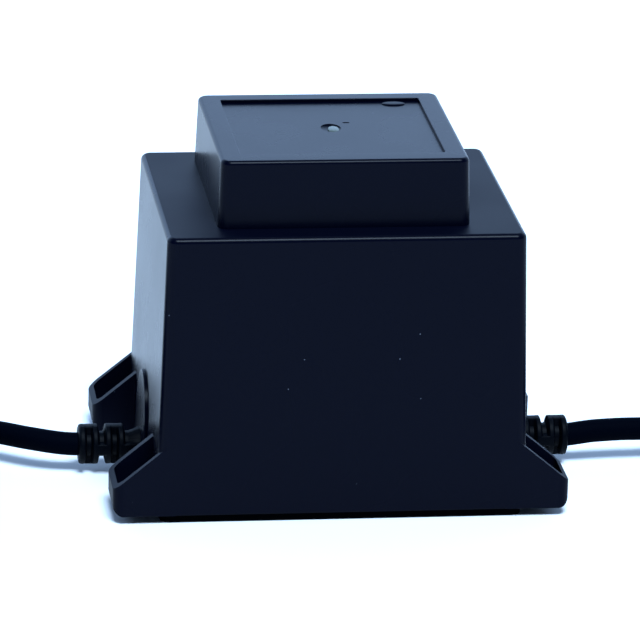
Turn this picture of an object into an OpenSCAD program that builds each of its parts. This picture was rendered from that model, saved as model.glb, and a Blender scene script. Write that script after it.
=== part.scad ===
// Encapsulated low frequency safety transformer with two leads, in millimetres.
// The output lead leaves along +X, +Y is the back and +Z is up. The origin is the middle of
// the base, on the surface that the transformer stands on. The core sets the case's size.

/* [Core] */
// Width of each outer leg, yoke and window of the laminations; the centre leg is twice as wide
outer_leg_w = 16; // [14:0.5:20]
// Height of the lamination stack
stack_h = 58; // [40:1:70]
// Gap between the E stack and the I stack
core_joint_gap = 0.1; // [0.05:0.05:0.3]

/* [Bobbin and windings] */
// Wall of the bobbin's tube
bobbin_wall = 1.2; // [0.8:0.1:2]
// Thickness of the bobbin's flanges and partition
flange_t = 1.2; // [0.8:0.1:2]
// Clearance between the bobbin and the core
bobbin_gap = 0.3; // [0.1:0.05:0.5]
// How much less a flange stands out above and below the stack than an outer leg is wide
flange_edge_gap = 1.25; // [0.8:0.05:2.5]
// How far each winding stays below the flanges' edges
winding_inset = 1.7; // [1.2:0.1:3]
// Radius of a winding's outer corners
winding_corner_r = 12; // [6:1:14]
// Clearance between a winding and what it touches
winding_gap = 0.1; // [0.05:0.05:0.3]
// Thickness of the tape round a winding
tape_t = 0.5; // [0.3:0.1:0.8]
// Diameter of the thermal fuse
fuse_d = 4; // [3:0.5:4.5]
// Length of the thermal fuse's body
fuse_l = 12; // [8:1:16]
// Diameter of the thermal fuse's leads
fuse_lead_d = 1; // [0.6:0.1:1.4]
// Length of each thermal fuse lead
fuse_lead_l = 7; // [4:1:10]

/* [Case] */
// Wall of the case
wall_t = 2.5; // [2:0.1:3.5]
// Gap between the core and the case wall at each side
core_side_gap = 1.5; // [0.5:0.1:6]
// Gap between the core and the case wall at the front and back
core_end_gap = 0.75; // [0.5:0.05:6]
// Room under the bobbin, down to the rim, for the lead joints
under_bobbin_h = 8.25; // [7.25:0.25:20]
// Draft of the main block's walls, in degrees
draft_deg = 1.75; // [0.5:0.25:2.5]
// Corner radius of the main block, in plan
case_corner_r = 3; // [3:0.5:8]
// Radius of the main block's upper edge
case_edge_r = 1.6; // [0.5:0.1:2.2]
// Gap between the bobbin's flanges and the top wall of the raised step over them
step_top_gap = 5.35; // [4.5:0.05:15]
// Draft of the step's walls, in degrees
step_draft_deg = 2; // [0.5:0.25:3]
// Gap between the bobbin's flanges and the step's side walls
step_side_gap = 1.8; // [1:0.1:5]
// Gap between the bobbin's flanges and the step's front and back walls
step_end_gap = 8.1; // [4:0.1:9]
// How far the step's middle lies behind the case's middle
step_shift = 0.5; // [0:0.1:2]
// Corner radius of the step, in plan
step_corner_r = 3; // [3:0.5:8]
// Radius of the step's upper edge
step_edge_r = 1.2; // [0.5:0.1:2.2]
// Width of the shallow recess in the step's top
recess_w = 59.5; // [30:0.5:62]
// Depth, front to back, of the recess in the step's top
recess_d = 55.5; // [30:0.5:58]
// How deep the recess is sunk
recess_h = 1; // [0.4:0.1:1.6]
// How far the recess's middle lies behind the step's middle
recess_shift = 0.4; // [0:0.1:3]

/* [Feet] */
// How far a foot stands out from the case's rim
foot_out = 12.4; // [11.5:0.1:18]
// Width of a foot
foot_w = 19.5; // [14:0.5:26]
// Height of a foot at the case wall
foot_root_h = 18.2; // [12:0.1:24]
// Height of a foot at its tip
foot_tip_h = 8; // [5:0.1:11]
// Rounding under a foot's tip
foot_round_r = 3; // [1:0.5:4]
// Thickness of a foot's side ribs
foot_rib_t = 2.5; // [1:0.1:3.5]
// Thickness of the wall at a foot's tip
foot_end_t = 1.5; // [1:0.1:4.5]
// Thickness of a foot's floor
foot_floor_t = 3; // [2:0.1:4]
// Diameter of the screw hole in a foot
screw_hole_d = 4.5; // [3:0.1:5.5]
// Distance from a foot's tip to the middle of its screw hole
screw_inset = 7; // [6:0.1:9]

/* [Base] */
// How far the base plate holds the case's rim off the surface
stand_h = 2.5; // [1:0.1:4]
// Thickness of the part of the plate that sits inside the rim
plate_t = 2.5; // [1.5:0.1:2.6]
// Clearance between the plate and the case wall
plate_gap = 0.2; // [0.1:0.05:0.4]
// How far the plate's lower pad is set in from the rim
pad_inset = 1.5; // [1:0.5:12]

/* [Strain reliefs] */
// Diameter of the cable
cable_d = 7; // [6:0.1:7.2]
// Clearance round the cable in its strain relief
cable_gap = 0.1; // [0.05:0.05:0.2]
// Height of the cable's axis above the rim
exit_h = 6; // [6:0.1:9]
// Outer diameter of a strain relief
relief_d = 12; // [10:0.1:12]
// How far a strain relief reaches out beyond the pad on the wall
relief_out = 18; // [16:0.5:24]
// Width of a strain relief's slots
slot_w = 2.2; // [1:0.1:2.6]
// Distance from one slot's middle to the next
slot_pitch = 3.8; // [3.2:0.1:4]
// Distance from a strain relief's end to the middle of its first slot
slot_first = 3.1; // [2:0.1:3.5]
// Width of the webs that bridge the slots
web_w = 3.4; // [2:0.1:5]
// Diameter of the neck in the case wall
neck_d = 9.8; // [9:0.1:9.8]
// Clearance between the neck and its hole in the wall
neck_gap = 0.1; // [0.05:0.05:0.3]
// Diameter of the flange inside the wall
relief_flange_d = 11.6; // [11:0.1:11.6]
// Thickness of the flange inside the wall
relief_flange_t = 2; // [1:0.1:3]
// Half width of the raised pad round a cable exit
arch_r = 12.6; // [9:0.1:16]
// Height of the pad's arch centre above the rim
arch_h = 16; // [10:0.5:20]
// How far the pad stands proud of the wall
arch_proud = 1; // [0.4:0.1:2]

/* [Leads inside] */
// How far the cable's jacket reaches in past the wall
jacket_in = 8; // [5:0.5:12]
// Diameter of an insulated core
core_wire_d = 2.4; // [1.8:0.1:2.6]
// Distance between the two cores inside the jacket
core_wire_pitch = 3.6; // [3.5:0.1:4]
// Diameter of a crimp splice
splice_d = 3.4; // [3.1:0.1:3.5]
// Length of a crimp splice
splice_l = 12; // [8:1:14]
// Distance from the jacket's end to the splice
splice_lead = 8; // [6:0.5:10]
// Diameter of a winding's end wire
tail_wire_d = 1.6; // [1:0.1:1.8]
// Distance between a winding's two end wires
tail_off = 6; // [4:0.5:12]

/* [Cords] */
// Clearance between what lies on a coil or ties it and the coil
tie_gap = 0.3; // [0.2:0.05:0.5]
// Thickness of a coil's tie
tie_t = 1; // [0.6:0.1:1.5]
// Width of a coil's tie
tie_w = 5; // [3:0.5:8]
// Distance from a strain relief's end to the middle of its coil, and how far back the coil starts
input_coil_out = 76.45; // [74:0.05:90]
input_start_y = 33; // [30:0.5:40]
output_coil_out = 79.45; // [77:0.05:90]
output_start_y = 31; // [28:0.5:40]
// Radius of a coil's tightest turn, at the cable's middle
coil_in_r = 28; // [28:0.1:32]
// Distance from one turn to the next, and from one layer to the next
coil_pitch = 7.4; // [7.3:0.05:8]
// Radius of the bend that brings the cord's end over the top of its coil
tail_r = 28.5; // [28:0.5:31]
// Length of the stripped cores at the output lead's end
strip_l = 22; // [14:1:30]
// Length of a core's bare tip
ferrule_l = 8; // [5:0.5:12]
// Diameter of a core's bare tip
ferrule_d = 1.8; // [1.4:0.1:2.2]
// How far apart the stripped cores stand at their tips
strip_spread = 8; // [4:0.5:12]
// How far the stripped cores droop to lie on the coil
strip_drop = 2.3; // [0:0.1:2.4]

/* [Plug] */
// Width of the plug's body
plug_w = 35; // [30:0.5:36]
// Thickness of the plug's body
plug_t = 14; // [12.5:0.1:14]
// Length of the plug's full-width part
plug_l = 22; // [18:0.5:26]
// Length of the plug's tapered neck
plug_neck_l = 15; // [10:0.5:18]
// Diameter of the plug's neck where the cord enters
plug_neck_d = 9.6; // [8:0.1:11]
// Radius of the corners at the plug's face
plug_edge_r = 3; // [1:0.5:4]
// Length of the plug's pins beyond its face
pin_l = 19; // [16:0.5:20]
// Diameter of a pin
pin_d = 4; // [3.8:0.1:4.8]
// Distance between the pins
pin_pitch = 18.6; // [17:0.1:19]
// Length of the insulating sleeve at a pin's root
sleeve_l = 10; // [8:0.5:12]
// Wall of the insulating sleeve
sleeve_t = 0.5; // [0.3:0.05:0.7]
// Depth of a pin inside the plug's body
pin_in = 10; // [6:0.5:14]

/* [Hidden] */

// Overrun of every cut
over = 1;
// Clearance between the resin and what it fills or wraps
fill_gap = 0.1;

// Heights, and how far the bobbin's flanges stand out above and below the core
flange_out_h = outer_leg_w - flange_edge_gap;
rim_z = stand_h;
core_low_z = rim_z + under_bobbin_h + flange_out_h;
core_z = core_low_z + stack_h / 2;
core_top_z = core_low_z + stack_h;
shoulder_z = core_top_z + wall_t;
top_z = core_top_z + flange_out_h + step_top_gap + wall_t;
plate_z = rim_z + plate_t;
exit_z = rim_z + exit_h;
case_h = shoulder_z - rim_z;

// Core: the windows' depth in shares of their width, then the sizes
window_shares = 3;
window_w = outer_leg_w;
window_d = window_shares * outer_leg_w;
leg_w = 2 * outer_leg_w;
core_w = leg_w + 2 * (window_w + outer_leg_w);
core_d = window_d + 2 * outer_leg_w;
core_y = core_d / 2;
window_y = outer_leg_w - core_y;
joint_y = window_y + window_d;
coil_y = (window_y + joint_y) / 2;

// Case
case_w = core_w + 2 * (core_side_gap + wall_t);
case_d = core_d + 2 * (core_end_gap + wall_t);
draft = tan(draft_deg);
rim_grow = draft * case_h;
rim_x = case_w / 2 + rim_grow;
rim_y = case_d / 2 + rim_grow;

// Bobbin, whose axis runs along Y
tube_in = [leg_w + 2 * bobbin_gap, stack_h + 2 * bobbin_gap];
tube_out = [tube_in.x + 2 * bobbin_wall, tube_in.y + 2 * bobbin_wall];
flange = [leg_w + 2 * (window_w - bobbin_gap), stack_h + 2 * flange_out_h];
bobbin_l = window_d - 2 * bobbin_gap;
winding_out = [flange.x - 2 * winding_inset, flange.y - winding_inset];
winding_l = (bobbin_l - 3 * flange_t) / 2 - 2 * winding_gap;
winding_y = (flange_t + winding_l) / 2 + winding_gap;
tape_out = [winding_out.x + 2 * (tape_t + winding_gap), winding_out.y + 2 * (tape_t + winding_gap)];

// Step
step_draft = tan(step_draft_deg);
step_w = flange.x + 2 * (step_side_gap + wall_t);
step_d = bobbin_l + 2 * (step_end_gap + wall_t);

// Cable exits
relief_r = relief_d / 2;
cable_r = cable_d / 2;
bore_r = cable_r + cable_gap;
slots = 4;
wall_in_x = rim_x - draft * (exit_h + relief_flange_d / 2) - wall_t;
wall_out_x = rim_x - draft * (exit_h - relief_r) + arch_proud;
relief_end_x = wall_out_x + relief_out;
jacket_x = wall_in_x - jacket_in;
splice_x = jacket_x - splice_lead;
tail_x = splice_x - splice_l - core_wire_d;
tail_top_z = core_z - tape_out.y / 2 - winding_gap;
wire_r = core_wire_d / 2;
wire_y = core_wire_pitch / 2;

// Coils: the layers and the turns in each layer
layer_turns = 2;
input_layers = 4;
output_layers = 2;
// The cord leaves its coil this share of a turn early, to bend over its top
early_share = 0.25;
coil_steps = 24;
coil_sides = 6;
cord_sides = 10;
coil_out_r = coil_in_r + layer_turns * coil_pitch;
input_coil_at = [-relief_end_x - input_coil_out, input_start_y - coil_out_r];
output_coil_at = [relief_end_x + output_coil_out, output_start_y - coil_out_r];
coil_z = tie_t + tie_gap + cable_r;
plug_rise = cable_r + tie_gap + plug_t / 2;
input_end = tail_point(input_coil_at, -1, input_layers, plug_rise);
output_end = tail_point(output_coil_at, 1, output_layers, coil_pitch);

// Free runs of the cords: how far out, back and up each point lies from its strain relief's end.
// Each run ends where its coil starts
input_run = [[0, 0, 0], [4.45, 0.3, 0.2], [8.45, 1.2, 0.5], [12.45, 2.8, 0.7], [16.45, 5.1, 0.7],
    [23.45, 9.8, 0.6], [33.45, 16.2, -0.1], [43.45, 22.3, -1.2], [51.45, 27, -2.3], [57.45, 30.1, -3.1],
    [63.45, 32.3, -3.6]];
output_run = [[0, 0, 0], [4.45, 0, 0.5], [8.45, 0.2, 0.9], [16.45, 0.7, 1.1], [23.45, 1, 1],
    [30.45, 2.2, 0.6], [36.45, 5.2, 0], [41.45, 9.4, -0.7], [45.45, 14.4, -1.4], [49.45, 20, -2],
    [54.45, 25.4, -2.6], [60.45, 29.2, -3.2], [66.45, 30.8, -3.6]];
function coil_start(at, side) = [at.x - side * cable_d, at.y + coil_out_r, coil_z];
function cord_route(run, side, at) =
    concat([for (p = run) [side * (relief_end_x + p.x), p.y, exit_z + p.z]], [coil_start(at, side)]);
input_route = cord_route(input_run, -1, input_coil_at);
output_route = cord_route(output_run, 1, output_coil_at);

// A ring of points round one point of a path, square to its direction
function ring(at, dir, r, sides) =
    let (t = dir / norm(dir), across = cross([0, 0, 1], t),
        n = across / norm(across), b = cross(t, n))
    [for (k = [0 : sides - 1]) at + r * (cos(360 * k / sides) * n + sin(360 * k / sides) * b)];

// The direction of a path at one of its points, along X at both of its ends
function heading(path, i, first, last) =
    i == 0 ? first : i == len(path) - 1 ? last : path[i + 1] - path[i - 1];

// A closed tube along a path
module tube(path, r, sides, first, last) {
    n = len(path);
    rings = [for (i = [0 : n - 1]) each ring(path[i], heading(path, i, first, last), r, sides)];
    wall = [for (i = [0 : n - 2], k = [0 : sides - 1], half = [0, 1])
        let (a = i * sides + k, b = i * sides + (k + 1) % sides)
        half == 0 ? [a, b + sides, b] : [a, a + sides, b + sides]];
    start_cap = [for (k = [1 : sides - 2]) [0, k, k + 1]];
    end_cap = [for (k = [1 : sides - 2]) [(n - 1) * sides, (n - 1) * sides + k + 1, (n - 1) * sides + k]];
    polyhedron(points = rings, faces = concat(wall, start_cap, end_cap), convexity = 12);
}

// A smooth change from 0 to 1
function ease(t) = let (c = min(1, max(0, t))) c * c * (3 - 2 * c);

// How many turns in from the outside the coil is, after t turns
function turns_in(t) =
    let (round_trip = 2 * layer_turns, part = t - round_trip * floor(t / round_trip))
    part <= layer_turns ? part : round_trip - part;

// The coil's radius and height after t turns; a layer is climbed in the half turn round each reversal
function wound_r(t) = coil_out_r - coil_pitch * turns_in(t);
function wound_z(t, layers, rise) =
    coil_z + coil_pitch * len([for (k = [1 : layers - 1]) if (t > k * layer_turns + early_share) k])
    + coil_pitch * climbing(t, layers)
    + rise * ease(1 + (t - coil_turns(layers)) / early_share);
function climbing(t, layers) =
    let (part = [for (k = [1 : layers - 1])
        if (abs(t - k * layer_turns) <= early_share) ease((t - k * layer_turns) / (2 * early_share) + 1 / 2)])
    len(part) > 0 ? part[0] : 0;
function coil_turns(layers) = layers * layer_turns - early_share;

// Where a coil's cord ends, over the top of the coil, on the side that it is wound towards
function tail_point(at, side, layers, rise) =
    let (t = coil_turns(layers))
    [at.x + side * (tail_r + cable_d - wound_r(t)), at.y + tail_r, wound_z(t, layers, rise)];

// The whole path of a coil: a straight start, the turns, the bend over the top and a straight end
function coil_path(at, side, layers, rise) =
    let (t_end = coil_turns(layers), steps = coil_steps * t_end, end_r = wound_r(t_end),
        end_z = wound_z(t_end, layers, rise), bend_steps = coil_steps / 4)
    concat(
        [coil_start(at, side)],
        [for (i = [0 : steps]) let (t = i / coil_steps, r = wound_r(t))
            [at.x + side * r * sin(360 * t), at.y + r * cos(360 * t), wound_z(t, layers, rise)]],
        [for (i = [1 : bend_steps]) let (a = 270 + 90 * i / bend_steps)
            [at.x + side * (tail_r * (1 + sin(a)) - end_r), at.y + tail_r * cos(a), end_z]],
        [tail_point(at, side, layers, rise)]);

input_coil_path = coil_path(input_coil_at, -1, input_layers, plug_rise);
output_coil_path = coil_path(output_coil_at, 1, output_layers, coil_pitch);

// Length of a path, and the least gap of a tube along it to itself
function path_length(path) = [for (i = [1 : len(path) - 1]) norm(path[i] - path[i - 1])]
    * [for (i = [1 : len(path) - 1]) 1];
function least_gap(path, apart) = min([for (i = [0 : len(path) - apart - 1], j = [i + apart : len(path) - 1])
    norm(path[i] - path[j])]) - cable_d;
echo(input_lead_length = path_length(input_route) + path_length(input_coil_path));
echo(output_lead_length = path_length(output_route) + path_length(output_coil_path));
echo(input_coil_least_gap = least_gap(input_coil_path, coil_steps / 3));
echo(output_coil_least_gap = least_gap(output_coil_path, coil_steps / 3));
echo(coil_mean_diameters = 2 * (coil_in_r + coil_out_r) / 2 / cable_d);

// A round rod from one point to another
module rod(from, to, r) {
    way = to - from;
    translate(from)
        rotate([0, acos(way.z / norm(way)), atan2(way.y, way.x)])
            cylinder(h = norm(way), r = r, $fn = 32);
}

// A box round a middle in X and Y, standing on a height
module block(size, at) {
    translate([at.x - size.x / 2, at.y - size.y / 2, at.z])
        cube(size);
}

// A rounded rectangle, drawn in its own plane about its middle
module round_rect(size, r) {
    for (s = [[0, r], [r, 0]])
        square([size.x - 2 * s.x, size.y - 2 * s.y], center = true);
    for (x = [-1, 1], y = [-1, 1])
        translate([x * (size.x / 2 - r), y * (size.y / 2 - r)])
            circle(r, $fn = 32);
}

// A block with drafted walls, round corners and a round upper edge, open size given at its top
module moulded_block(top_w, top_d, low_z, high_z, slope, corner_r, edge_r) {
    grow = slope * (high_z - low_z);
    edge_steps = 3;
    hull() {
        for (x = [-1, 1], y = [-1, 1]) {
            translate([x * (top_w / 2 + grow - corner_r), y * (top_d / 2 + grow - corner_r), low_z])
                cylinder(h = edge_r, r = corner_r, $fn = 32);
            for (i = [0 : edge_steps]) {
                a = 90 * i / edge_steps;
                translate([x * (top_w / 2 - corner_r), y * (top_d / 2 - corner_r), high_z - edge_r])
                    cylinder(h = edge_r * sin(a), r = corner_r - edge_r * (1 - cos(a)), $fn = 32);
            }
        }
    }
}

// A block as tall as the case between its drafted front and back, to trim the feet flush
module between_faces(half_w) {
    translate([-half_w, 0, 0])
        rotate([90, 0, 90])
            linear_extrude(2 * half_w)
                polygon([[-rim_y, rim_z], [rim_y, rim_z],
                    [rim_y - rim_grow, shoulder_z], [rim_grow - rim_y, shoulder_z]]);
}

// Outline of a foot from the side, from inside the wall out to its tip
module foot_side(inner_x) {
    tip_x = rim_x + foot_out;
    rise = (foot_root_h - foot_tip_h) / foot_out;
    polygon(concat(
        [[inner_x, rim_z], [tip_x - foot_round_r, rim_z]],
        [for (a = [15 : 15 : 75])
            [tip_x - foot_round_r + foot_round_r * sin(a), rim_z + foot_round_r * (1 - cos(a))]],
        [[tip_x, rim_z + foot_round_r], [tip_x, rim_z + foot_tip_h],
            [inner_x, rim_z + foot_tip_h + rise * (tip_x - inner_x)]]));
}

module foot_block(side, end) {
    intersection() {
        between_faces(rim_x + foot_out + over);
        mirror([side < 0 ? 1 : 0, 0, 0])
            mirror([0, end < 0 ? 1 : 0, 0])
                translate([0, rim_y, 0])
                    rotate([90, 0, 0])
                        linear_extrude(foot_w)
                            foot_side(rim_x - wall_t);
    }
}

// The open space in a foot, from inside the case wall out to the wall at the foot's tip
module foot_pocket(side, end) {
    inner_x = rim_x - wall_t - over;
    end_x = rim_x + foot_out - foot_end_t;
    block([end_x - inner_x, foot_w - 2 * foot_rib_t, foot_root_h + over],
        [side * (inner_x + end_x) / 2, end * (rim_y - foot_w / 2), rim_z + foot_floor_t]);
}

// The raised pad round a cable exit: an arch on the drafted wall
module arch_pad(side) {
    mirror([side < 0 ? 1 : 0, 0, 0])
        intersection() {
            translate([wall_in_x, 0, 0])
                rotate([90, 0, 90])
                    linear_extrude(foot_out)
                        union() {
                            translate([0, rim_z + arch_h])
                                circle(arch_r, $fn = 64);
                            translate([-arch_r, rim_z])
                                square([2 * arch_r, arch_h]);
                        }
            translate([0, arch_r + over, 0])
                rotate([90, 0, 0])
                    linear_extrude(2 * (arch_r + over))
                        polygon([[wall_in_x, rim_z], [rim_x + arch_proud, rim_z],
                            [rim_x + arch_proud - rim_grow, shoulder_z], [wall_in_x, shoulder_z]]);
        }
}

// The space inside the case, made smaller all round by a gap
module cavity(gap, low_z) {
    moulded_block(case_w - 2 * wall_t - 2 * gap, case_d - 2 * wall_t - 2 * gap,
        low_z, core_top_z - gap, draft, case_corner_r - wall_t / 2, case_edge_r / 2);
    translate([0, step_shift, 0])
        moulded_block(step_w - 2 * wall_t - 2 * gap, step_d - 2 * wall_t - 2 * gap,
            core_z, top_z - wall_t - gap, step_draft, step_corner_r - wall_t / 2, step_edge_r / 2);
}

module case() {
    color([0.07, 0.09, 0.14])
        difference() {
            union() {
                moulded_block(case_w, case_d, rim_z, shoulder_z, draft, case_corner_r, case_edge_r);
                translate([0, step_shift, 0])
                    moulded_block(step_w, step_d, core_z, top_z, step_draft, step_corner_r, step_edge_r);
                for (side = [-1, 1]) {
                    arch_pad(side);
                    for (end = [-1, 1])
                        difference() {
                            foot_block(side, end);
                            foot_pocket(side, end);
                        }
                }
            }
            cavity(0, rim_z - over);
            block([recess_w, recess_d, recess_h + over], [0, step_shift + recess_shift, top_z - recess_h]);
            for (side = [-1, 1]) {
                rod([side * (wall_in_x - wall_t), 0, exit_z], [side * (wall_out_x + wall_t), 0, exit_z],
                    neck_d / 2 + neck_gap);
                for (end = [-1, 1])
                    translate([side * (rim_x + foot_out - screw_inset), end * (rim_y - foot_w / 2), rim_z - over])
                        cylinder(h = foot_root_h, d = screw_hole_d, $fn = 32);
            }
        }
}

module base_plate() {
    plug_grow = 2 * (wall_t + plate_gap) + 2 * rim_grow * plate_t / case_h;
    color([0.05, 0.06, 0.09]) {
        difference() {
            translate([0, 0, rim_z])
                linear_extrude(plate_t)
                    round_rect([2 * rim_x - plug_grow, 2 * rim_y - plug_grow], case_corner_r - wall_t / 2);
            for (side = [-1, 1])
                block([2 * (relief_flange_t + plate_gap + wall_t), relief_flange_d + 2 * plate_gap,
                    plate_t + 2 * over], [side * (wall_in_x + wall_t), 0, rim_z - over]);
        }
        linear_extrude(stand_h)
            round_rect([2 * (rim_x - pad_inset), 2 * (rim_y - pad_inset)], case_corner_r);
    }
}

module potting_resin() {
    channel_h = core_z - flange.y / 2 - plate_z;
    color([0.1, 0.1, 0.11])
        difference() {
            cavity(fill_gap, plate_z + fill_gap);
            block([core_w + 2 * fill_gap, core_d + 2 * fill_gap, stack_h + over],
                [0, 0, core_low_z - fill_gap]);
            block([flange.x + 2 * fill_gap, bobbin_l + 2 * fill_gap, flange.y + 2 * fill_gap],
                [0, coil_y, core_z - flange.y / 2 - fill_gap]);
            block([fuse_l + 2 * (fuse_lead_l + fill_gap), fuse_d + 2 * fill_gap, fuse_d + window_w],
                [0, coil_y - winding_y, core_z + tape_out.y / 2 - window_w + fill_gap]);
            block([2 * (wall_in_x - fill_gap), 2 * (wire_y + tail_off + splice_d), channel_h + 2 * over],
                [0, 0, plate_z]);
            flange_x = wall_in_x - relief_flange_t - cable_gap - fill_gap;
            for (side = [-1, 1])
                rod([side * flange_x, 0, exit_z], [side * rim_x, 0, exit_z], relief_flange_d / 2 + fill_gap);
        }
}

module core_e_stack() {
    color([0.35, 0.36, 0.38]) {
        block([core_w, outer_leg_w, stack_h], [0, outer_leg_w / 2 - core_y, core_low_z]);
        block([leg_w, window_d + over, stack_h], [0, coil_y - over / 2, core_low_z]);
        for (side = [-1, 1])
            block([outer_leg_w, window_d + over, stack_h],
                [side * (core_w - outer_leg_w) / 2, coil_y - over / 2, core_low_z]);
    }
}

module core_i_stack() {
    color([0.4, 0.41, 0.43])
        block([core_w, outer_leg_w - core_joint_gap, stack_h],
            [0, joint_y + (outer_leg_w + core_joint_gap) / 2, core_low_z]);
}

// A band round the bobbin's axis: a rounded outline less a rounded hole, along Y
module band(size, r, hole, hole_r, length, middle_y) {
    translate([0, middle_y + length / 2, core_z])
        rotate([90, 0, 0])
            linear_extrude(length)
                difference() {
                    round_rect(size, r);
                    round_rect(hole, hole_r);
                }
}

module bobbin() {
    color([0.85, 0.84, 0.78]) {
        band(tube_out, bobbin_wall, tube_in, bobbin_gap, bobbin_l, coil_y);
        for (share = [-1, 0, 1])
            band(flange, bobbin_wall, tube_in, bobbin_gap, flange_t,
                coil_y + share * (bobbin_l - flange_t) / 2);
    }
}

module winding(side) {
    hole = [tube_out.x + 2 * winding_gap, tube_out.y + 2 * winding_gap];
    band(winding_out, winding_corner_r, hole, bobbin_wall, winding_l, coil_y + side * winding_y);
}

module tape(side) {
    hole = [winding_out.x + 2 * winding_gap, winding_out.y + 2 * winding_gap];
    band(tape_out, winding_corner_r + tape_t + winding_gap, hole, winding_corner_r + winding_gap,
        winding_l, coil_y + side * winding_y);
}

module primary_winding() { color([0.62, 0.3, 0.14]) winding(-1); }
module secondary_winding() { color([0.7, 0.38, 0.18]) winding(1); }
module primary_tape() { color([0.9, 0.78, 0.25]) tape(-1); }
module secondary_tape() { color([0.9, 0.78, 0.25]) tape(1); }

module thermal_fuse() {
    fuse_z = core_z + tape_out.y / 2 + winding_gap + fuse_d / 2;
    fuse_y = coil_y - winding_y;
    color([0.75, 0.76, 0.78]) {
        rod([-fuse_l / 2, fuse_y, fuse_z], [fuse_l / 2, fuse_y, fuse_z], fuse_d / 2);
        rod([-fuse_l / 2 - fuse_lead_l, fuse_y, fuse_z], [fuse_l / 2 + fuse_lead_l, fuse_y, fuse_z],
            fuse_lead_d / 2);
    }
}

// The cable's last stretch inside the case: its jacket in the strain relief, and its two bared cores
module cable_entry(side) {
    rod([side * jacket_x, 0, exit_z], [side * relief_end_x, 0, exit_z], cable_r);
    for (y = [-wire_y, wire_y])
        rod([side * (splice_x - splice_l / 3), y, exit_z], [side * (jacket_x + over), y, exit_z], wire_r);
}

module splices(side) {
    for (y = [-wire_y, wire_y])
        difference() {
            rod([side * (splice_x - splice_l), y, exit_z], [side * splice_x, y, exit_z], splice_d / 2);
            rod([side * (splice_x - splice_l - over), y, exit_z], [side * (splice_x + over), y, exit_z],
                wire_r + cable_gap);
        }
}

// A wire through corners, with a round elbow at each inner corner
module wire(corners) {
    last = len(corners) - 1;
    for (i = [1 : last])
        rod(corners[i - 1], corners[i], tail_wire_d / 2);
    for (i = [1 : last - 1])
        translate(corners[i])
            sphere(tail_wire_d / 2, $fn = 24);
}

// The ends of a winding: from the splices, one straight up and one across and up, to its underside
module winding_tails(side) {
    from_x = side * (splice_x - splice_l / 2);
    near_x = side * tail_x;
    far_x = side * (tail_x - 2 * tail_wire_d);
    near_y = side * wire_y;
    far_y = side * (wire_y + tail_off);
    wire([[from_x, near_y, exit_z], [near_x, near_y, exit_z], [near_x, near_y, tail_top_z]]);
    wire([[from_x, -near_y, exit_z], [far_x, -near_y, exit_z], [far_x, far_y, exit_z],
        [far_x, far_y, tail_top_z]]);
}

module input_cable_entry() { color([0.06, 0.07, 0.09]) cable_entry(-1); }
module output_cable_entry() { color([0.06, 0.07, 0.09]) cable_entry(1); }
module input_splices() { color([0.2, 0.35, 0.7]) splices(-1); }
module output_splices() { color([0.2, 0.35, 0.7]) splices(1); }
module primary_tails() { color([0.62, 0.3, 0.14]) winding_tails(-1); }
module secondary_tails() { color([0.7, 0.38, 0.18]) winding_tails(1); }

// A slotted strain relief: a flange inside the wall, a neck in it, and ribs outside joined by webs
module strain_relief(side) {
    difference() {
        union() {
            rod([side * (wall_in_x - relief_flange_t - cable_gap), 0, exit_z],
                [side * (wall_in_x - cable_gap), 0, exit_z], relief_flange_d / 2);
            rod([side * (wall_in_x - relief_flange_t), 0, exit_z], [side * relief_end_x, 0, exit_z], neck_d / 2);
            rod([side * (wall_out_x + cable_gap), 0, exit_z], [side * relief_end_x, 0, exit_z], relief_r);
        }
        rod([side * (wall_in_x - relief_flange_t - over), 0, exit_z],
            [side * (relief_end_x + over), 0, exit_z], bore_r);
        for (i = [0 : slots - 1])
            relief_slot(side, relief_end_x - slot_first - i * slot_pitch, i % 2 == 0);
    }
}

// One slot: all round but for two webs, above and below or at the front and back
module relief_slot(side, x, webs_upright) {
    web = [slot_w + 2 * over, webs_upright ? web_w : relief_d + over, webs_upright ? relief_d + over : web_w];
    difference() {
        rod([side * (x - slot_w / 2), 0, exit_z], [side * (x + slot_w / 2), 0, exit_z], relief_r + over);
        translate([side * x, 0, exit_z])
            cube(web, center = true);
    }
}

module input_strain_relief() { color([0.05, 0.05, 0.06]) strain_relief(-1); }
module output_strain_relief() { color([0.05, 0.05, 0.06]) strain_relief(1); }

module input_cord() { color([0.04, 0.05, 0.06]) tube(input_route, cable_r, cord_sides, [-1, 0, 0], [-1, 0, 0]); }
module input_coil() {
    color([0.04, 0.05, 0.06])
        tube(input_coil_path, cable_r, coil_sides, [-1, 0, 0], [-1, 0, 0]);
}
module output_cord() { color([0.04, 0.05, 0.06]) tube(output_route, cable_r, cord_sides, [1, 0, 0], [1, 0, 0]); }
module output_coil() {
    color([0.04, 0.05, 0.06])
        tube(output_coil_path, cable_r, coil_sides, [1, 0, 0], [1, 0, 0]);
}

// A band round the whole bundle, where its turns lie in columns
module coil_tie(at, layers) {
    corner = cable_r + tie_gap;
    inside = [coil_pitch + 2 * corner, (layers - 1) * coil_pitch + 2 * corner];
    translate([at.x - tie_w / 2, at.y - coil_in_r - coil_pitch, coil_z + (layers - 1) * coil_pitch / 2])
        rotate([90, 0, 90])
            linear_extrude(tie_w)
                difference() {
                    round_rect([inside.x + 2 * tie_t, inside.y + 2 * tie_t], corner + tie_t);
                    round_rect(inside, corner);
                }
}

module input_coil_tie() { color([0.1, 0.1, 0.11]) coil_tie(input_coil_at, input_layers); }
module output_coil_tie() { color([0.1, 0.1, 0.11]) coil_tie(output_coil_at, output_layers); }

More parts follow.
